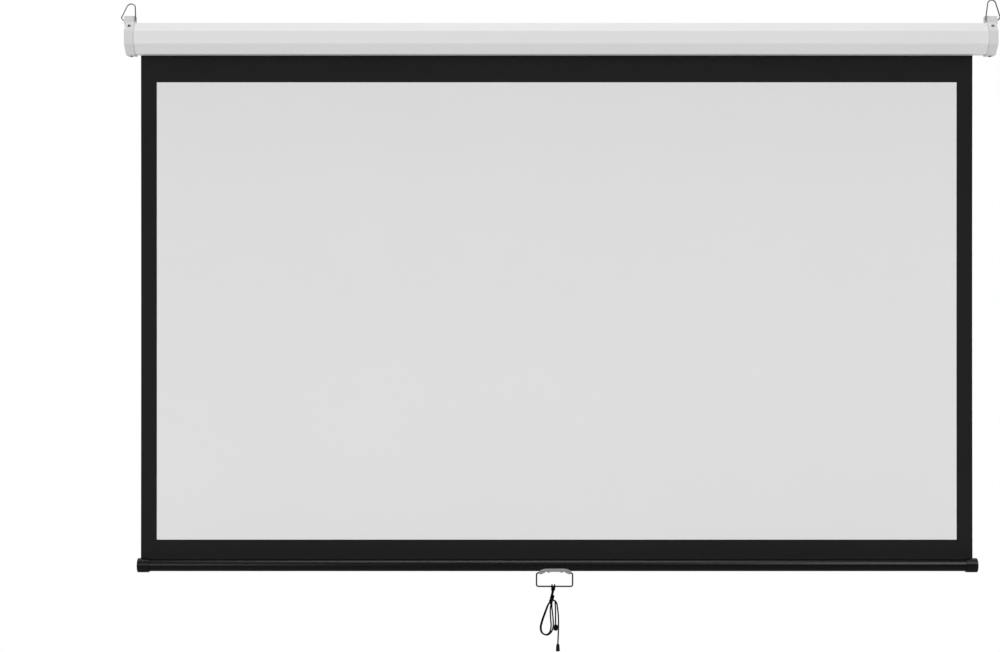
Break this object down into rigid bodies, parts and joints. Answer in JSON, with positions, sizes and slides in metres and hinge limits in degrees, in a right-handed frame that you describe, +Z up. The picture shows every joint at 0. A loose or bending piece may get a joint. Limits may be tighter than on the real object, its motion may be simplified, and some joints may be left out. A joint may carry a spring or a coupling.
{
  "type": "pull-down projection screen",
  "caption": "Wall or ceiling hung pull-down projection screen: faceted white case, spring roller, matt white 16:9 sheet with black borders, round bottom bar, wire pull handle and cord.",
  "frame": {"origin": "on the wall plane (the back faces of the end-cap flanges), midway between the end caps, level with the screw seats of the keyholes", "axes": "+X along the case towards the viewer's right, +Y into the wall, so the viewing surface faces -Y, +Z up"},
  "size_m": [2.041, 0.07, 1.5134],
  "materials": {
    "case_paint": "white powder coat, satin",
    "cap_plastic": "moulded white ABS, fine satin",
    "sheet_white": "matt white coated cloth, fine bead",
    "sheet_black": "matt black coated cloth",
    "bar_paint": "black powder coat, semi-gloss",
    "black_plastic": "moulded black, satin",
    "cord_black": "braided black polyester",
    "saddle_steel": "zinc-plated, pressed",
    "bail_steel": "drawn wire, plated",
    "ring_chrome": "bright chrome",
    "screw_zinc": "bright zinc",
    "works_steel": "turned, lightly oiled",
    "spring_steel": "oil-tempered wire",
    "nylon": "natural nylon",
    "roller_aluminium": "mill-finish tube"
  },
  "bodies": {
    "housing": {"case_shell": "case_paint", "end_cap_left": "cap_plastic", "end_cap_right": "cap_plastic", "cap_screw_left_front": "screw_zinc", "cap_screw_left_bottom": "screw_zinc", "cap_screw_right_front": "screw_zinc", "cap_screw_right_bottom": "screw_zinc", "idler_bush": "nylon", "ratchet_disc": "works_steel", "spring_spindle": "works_steel", "spring_collar": "works_steel", "torsion_spring": "spring_steel", "screen_backing": "sheet_black", "viewing_surface": "sheet_white"},
    "roller": {"roller_tube": "roller_aluminium", "sheet_wrap": "sheet_black", "idler_plug": "nylon", "idler_pin": "works_steel", "lock_plug": "nylon", "pawl_pin_upper": "works_steel", "pawl_pin_lower": "works_steel", "spring_anchor": "nylon"},
    "pawl_upper": {"pawl_upper": "works_steel"},
    "pawl_lower": {"pawl_lower": "works_steel"},
    "bottom_bar": {"sheet_hem": "sheet_black", "hem_rod": "works_steel", "bar_tube": "bar_paint", "bar_cap_left": "black_plastic", "bar_cap_right": "black_plastic", "handle_saddle": "saddle_steel", "saddle_screw_left": "saddle_steel", "saddle_screw_right": "saddle_steel"},
    "bail": {"handle_bail": "bail_steel"},
    "pull_cord": {"cord_hitch": "cord_black", "cord_stem_left": "cord_black", "cord_stem_right": "cord_black", "cord_knot": "cord_black", "cord_loop_front": "cord_black", "cord_loop_back": "cord_black", "cord_tail_short": "cord_black", "cord_tail_long": "cord_black", "cord_end_knot": "cord_black", "cord_tip": "black_plastic"},
    "ring_left": {"hanger_ring_left": "ring_chrome"},
    "ring_right": {"hanger_ring_right": "ring_chrome"}
  },
  "joints": [
    {"name": "screen_travel", "type": "slide", "parent": "housing", "child": "bottom_bar", "axis": [0, 0, 1], "range_m": [0, 1.16], "deforming": ["screen_backing", "viewing_surface"]},
    {"name": "roller_turn", "type": "hinge", "parent": "housing", "child": "roller", "pos_m": [0, -0.036, -0.0435], "axis": [1, 0, 0], "range_deg": [0, 3600]},
    {"name": "pawl_upper_drop", "type": "hinge", "parent": "roller", "child": "pawl_upper", "pos_m": [0.9703, -0.036, -0.0307], "axis": [1, 0, 0], "range_deg": [0, 22]},
    {"name": "pawl_lower_drop", "type": "hinge", "parent": "roller", "child": "pawl_lower", "pos_m": [0.9703, -0.036, -0.0563], "axis": [1, 0, 0], "range_deg": [0, 22]},
    {"name": "bail_swing", "type": "hinge", "parent": "bottom_bar", "child": "bail", "pos_m": [-0.0125, -0.01825, -1.2817], "axis": [1, 0, 0], "range_deg": [-110, 110]},
    {"name": "cord_swing", "type": "hinge", "parent": "bail", "child": "pull_cord", "pos_m": [-0.0171, -0.01825, -1.3131], "axis": [1, 0, 0], "range_deg": [-110, 110]},
    {"name": "ring_left_swing", "type": "hinge", "parent": "housing", "child": "ring_left", "pos_m": [-1, -0.031, 0.0015], "axis": [1, 0, 0], "range_deg": [-23, 127]},
    {"name": "ring_right_swing", "type": "hinge", "parent": "housing", "child": "ring_right", "pos_m": [1, -0.031, 0.0015], "axis": [1, 0, 0], "range_deg": [-50, 100]}
  ],
  "couplings": [
    {"joint": "roller_turn", "follows": "screen_travel", "rad_per_m": 54.165},
    {"joint": "cord_swing", "follows": "bail_swing", "ratio": -1}
  ]
}
